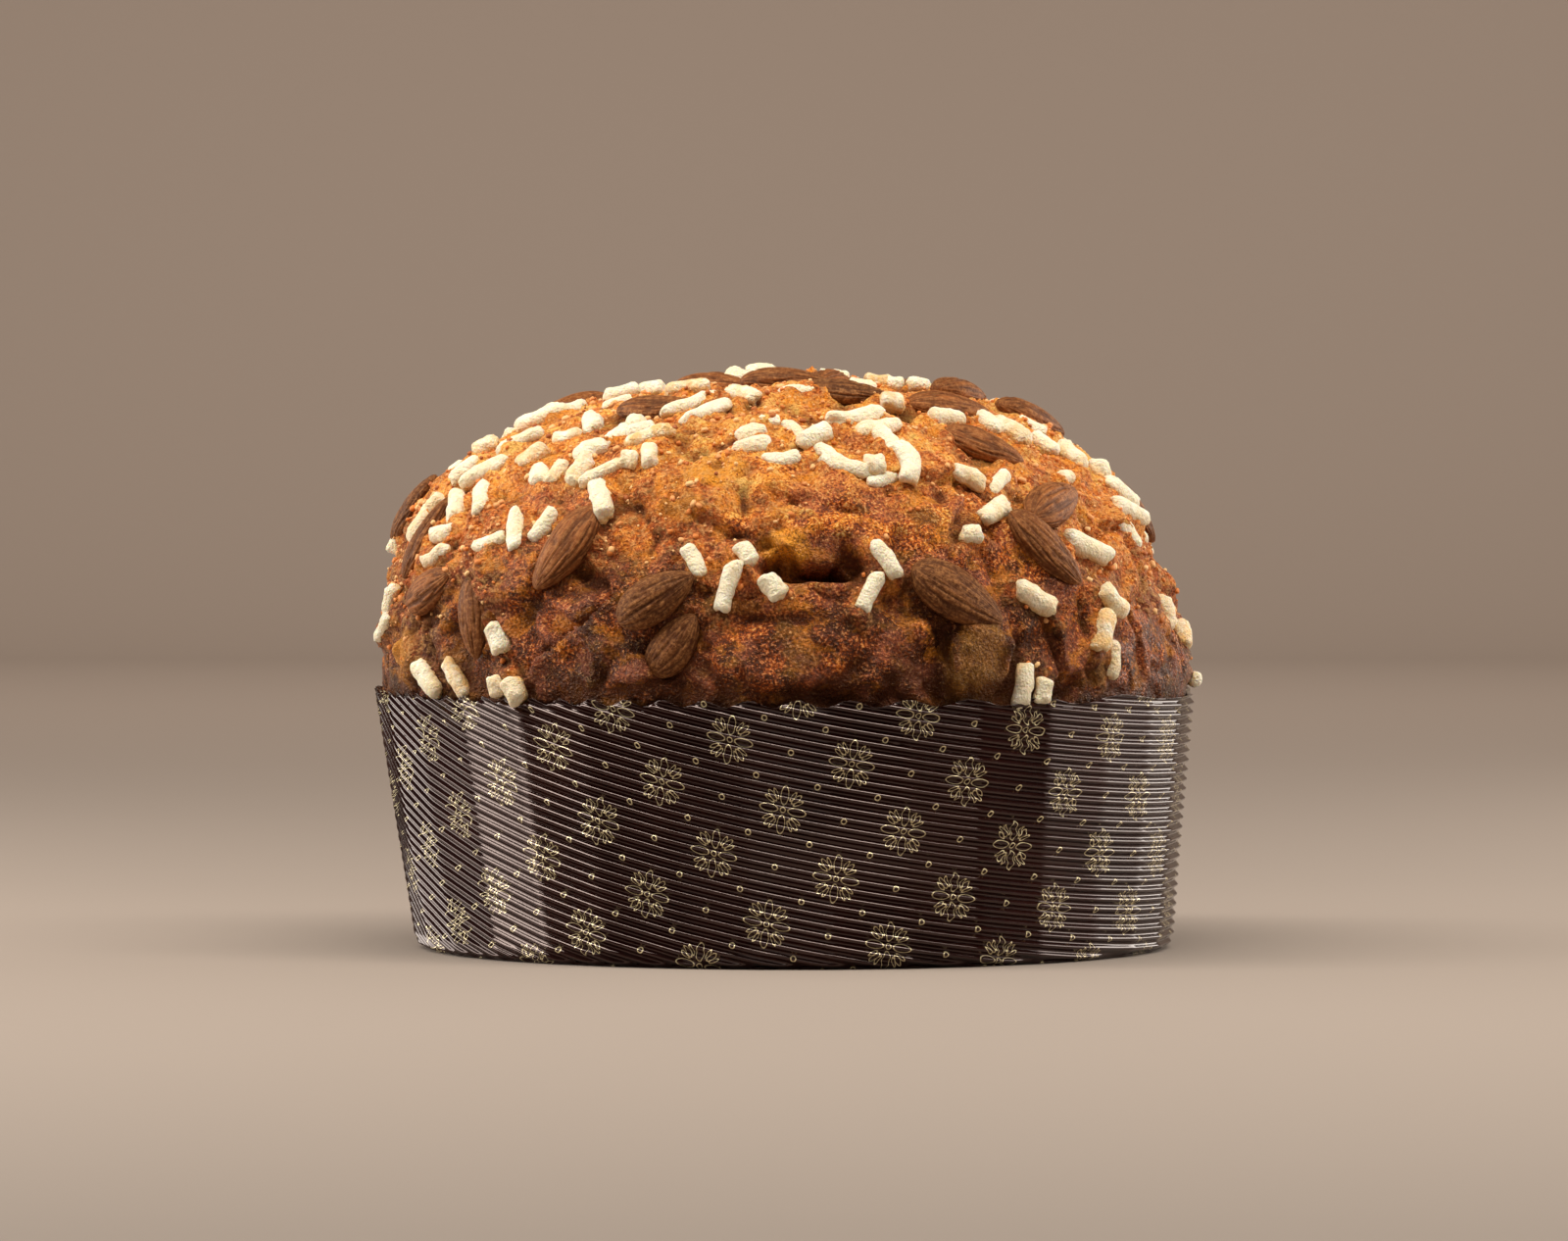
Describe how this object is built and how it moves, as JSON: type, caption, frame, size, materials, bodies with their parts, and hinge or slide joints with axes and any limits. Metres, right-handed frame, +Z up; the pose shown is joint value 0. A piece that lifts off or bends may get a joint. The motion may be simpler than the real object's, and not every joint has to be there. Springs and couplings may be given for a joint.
{
  "type": "panettone",
  "caption": "Low dome-shaped sweet bread in a fluted paper mould, topped with whole almonds and sugar nibs.",
  "frame": {"origin": "on the surface it stands on, under the middle of the mould's rim", "axes": "+Z up through the crown of the dome, -Y towards the pictured front, +X to the right of the picture"},
  "size_m": [0.2238, 0.2248, 0.1599],
  "materials": {
    "paper": "fluted dark brown baking paper with a soft sheen and a fine gold print",
    "crust": "baked golden to deep brown sugary crust",
    "sugar": "opaque cream-white pearl sugar, slightly toasted",
    "almond": "whole almonds in their ridged brown skin"
  },
  "bodies": {
    "root": {"paper_mould": "paper", "bread": "crust", "almond_01": "almond", "almond_02": "almond", "almond_03": "almond", "almond_04": "almond", "almond_05": "almond", "almond_06": "almond", "almond_07": "almond", "almond_08": "almond", "almond_09": "almond", "almond_10": "almond", "almond_11": "almond", "almond_12": "almond", "almond_13": "almond", "almond_14": "almond", "almond_15": "almond", "almond_16": "almond", "almond_17": "almond", "almond_18": "almond", "almond_19": "almond", "almond_20": "almond", "almond_21": "almond", "almond_22": "almond", "almond_23": "almond", "almond_24": "almond", "almond_25": "almond", "almond_26": "almond", "almond_27": "almond", "almond_28": "almond", "almond_29": "almond", "almond_30": "almond", "almond_31": "almond"}
  },
  "joints": []
}
